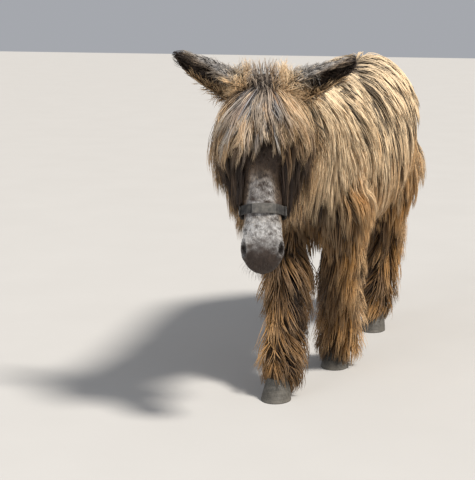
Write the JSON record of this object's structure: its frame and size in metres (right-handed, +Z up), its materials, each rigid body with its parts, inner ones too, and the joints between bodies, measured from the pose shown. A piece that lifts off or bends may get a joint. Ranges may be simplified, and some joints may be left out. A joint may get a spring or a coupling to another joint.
{
  "type": "long-haired donkey",
  "caption": "Walking long-haired donkey with a shaggy coat, a heavy forelock, ears held out level and a webbing halter with metal rings.",
  "frame": {"origin": "middle of the outline's footprint, on the ground under the four hooves", "axes": "+Z up, -Y the way the donkey faces, +X to its own left; Y is the longest side"},
  "size_m": [0.7304, 2.1588, 1.4245],
  "materials": {
    "coat": "long dull brown hair with sun-bleached golden tips",
    "dark_coat": "near-black brown hair on the ears and legs",
    "horn": "dusty grey-olive hoof horn",
    "eye": "wet, nearly black brown",
    "webbing": "worn dark grey woven webbing",
    "steel": "dull zinc-plated steel"
  },
  "bodies": {
    "root": {"trunk": "coat", "neck": "coat", "head": "coat", "tail": "coat", "ear_left": "dark_coat", "ear_right": "dark_coat", "foreleg_upper_left": "dark_coat", "foreleg_upper_right": "dark_coat", "foreleg_lower_left": "dark_coat", "foreleg_lower_right": "dark_coat", "hindleg_upper_left": "dark_coat", "hindleg_upper_right": "dark_coat", "hindleg_lower_left": "dark_coat", "hindleg_lower_right": "dark_coat", "hoof_fore_left": "horn", "hoof_fore_right": "horn", "hoof_hind_left": "horn", "hoof_hind_right": "horn", "eye_left": "eye", "eye_right": "eye", "halter_noseband": "webbing", "halter_chin_strap": "webbing", "halter_headstall": "webbing", "halter_ring_left": "steel", "halter_ring_right": "steel", "halter_chin_ring": "steel"}
  },
  "joints": []
}
